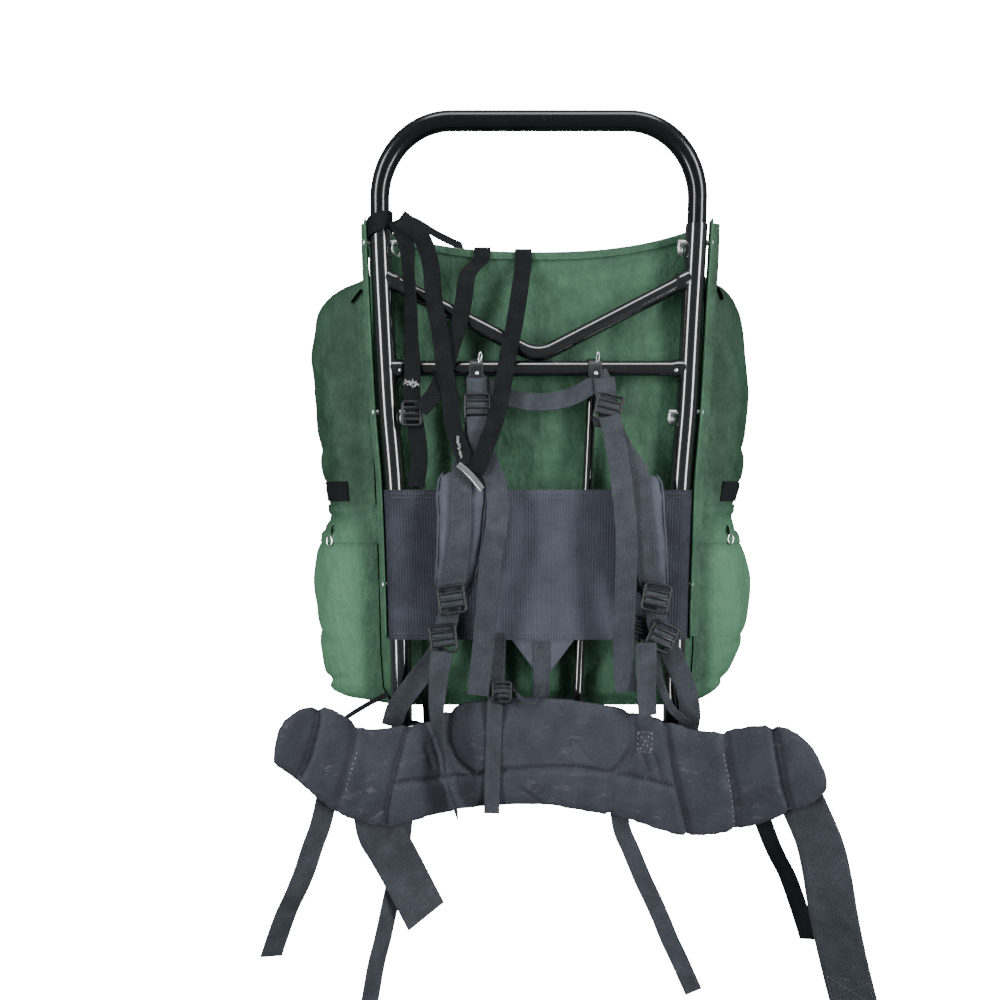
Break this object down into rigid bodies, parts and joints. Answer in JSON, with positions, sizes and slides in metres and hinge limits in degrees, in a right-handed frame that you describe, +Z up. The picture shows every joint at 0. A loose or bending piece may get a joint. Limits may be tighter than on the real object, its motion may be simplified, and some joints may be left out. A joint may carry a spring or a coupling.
{
  "type": "external frame backpack",
  "caption": "Hanging external frame backpack: black tube frame with telescoping top hoop, green cloth bag with side pockets, woven back band, padded shoulder straps and padded hip belt.",
  "frame": {"origin": "middle of the underside of the top hoop's bar, where the pack hangs", "axes": "+Z up the frame, +Y from the wearer's side through the frame to the bag, +X to the right as seen from the harness side"},
  "size_m": [0.6496, 0.3725, 1.0275],
  "materials": {
    "frame_paint": "gloss black paint on aluminium tube",
    "pin_steel": "bright steel",
    "bag_cloth": "coated green pack cloth",
    "band_cloth": "ribbed woven charcoal band",
    "grey_webbing": "woven grey webbing",
    "black_webbing": "woven black webbing",
    "pad_cloth": "cloth over foam, charcoal",
    "belt_cloth": "cloth over foam, dusty charcoal",
    "buckle_plastic": "moulded dark grey plastic"
  },
  "bodies": {
    "root": {"frame_hoop": "frame_paint", "side_tube_left": "frame_paint", "side_tube_right": "frame_paint", "vee_brace": "frame_paint", "upper_crossbar": "frame_paint", "lower_crossbar": "frame_paint", "inner_upright_left": "frame_paint", "inner_upright_right": "frame_paint", "clevis_pin_upper_left": "pin_steel", "clevis_pin_upper_right": "pin_steel", "clevis_pin_middle_left": "pin_steel", "clevis_pin_middle_right": "pin_steel", "clevis_pin_lower_left": "pin_steel", "clevis_pin_lower_right": "pin_steel", "bag_body": "bag_cloth", "bag_lid": "bag_cloth", "pocket_upper_left": "bag_cloth", "pocket_upper_right": "bag_cloth", "pocket_lower_left": "bag_cloth", "pocket_lower_right": "bag_cloth", "pocket_strap_left": "black_webbing", "pocket_strap_right": "black_webbing", "flange_left": "bag_cloth", "flange_right": "bag_cloth", "back_band": "band_cloth", "yoke_webbing": "grey_webbing", "ladder_lock_upper_left": "buckle_plastic", "ladder_lock_upper_right": "buckle_plastic", "ladder_lock_middle_left": "buckle_plastic", "ladder_lock_middle_right": "buckle_plastic", "ladder_lock_end_left": "buckle_plastic", "ladder_lock_end_right": "buckle_plastic", "shoulder_pad_left": "pad_cloth", "shoulder_pad_right": "pad_cloth", "pad_webbing_left": "grey_webbing", "pad_webbing_right": "grey_webbing", "long_tail_left": "grey_webbing", "long_tail_right": "grey_webbing", "lower_webbing_left": "grey_webbing", "lower_webbing_right": "grey_webbing", "lower_tail_left": "grey_webbing", "lower_tail_right": "grey_webbing", "hip_belt": "belt_cloth", "belt_strap_left_outer": "grey_webbing", "belt_strap_left_inner": "grey_webbing", "belt_strap_right_inner": "grey_webbing", "belt_strap_right_outer": "black_webbing", "waist_webbing_left": "grey_webbing", "waist_webbing_right": "grey_webbing", "lumbar_gusset": "belt_cloth", "lumbar_webbing": "grey_webbing", "belt_centre_strap": "grey_webbing", "belt_centre_lock": "buckle_plastic", "lash_wrap": "black_webbing", "lash_strap_outer": "black_webbing", "lash_strap_long": "black_webbing", "lash_strap_inner": "black_webbing", "lash_strap_middle": "black_webbing", "lash_lock": "buckle_plastic", "lash_hook": "pin_steel"}
  },
  "joints": []
}
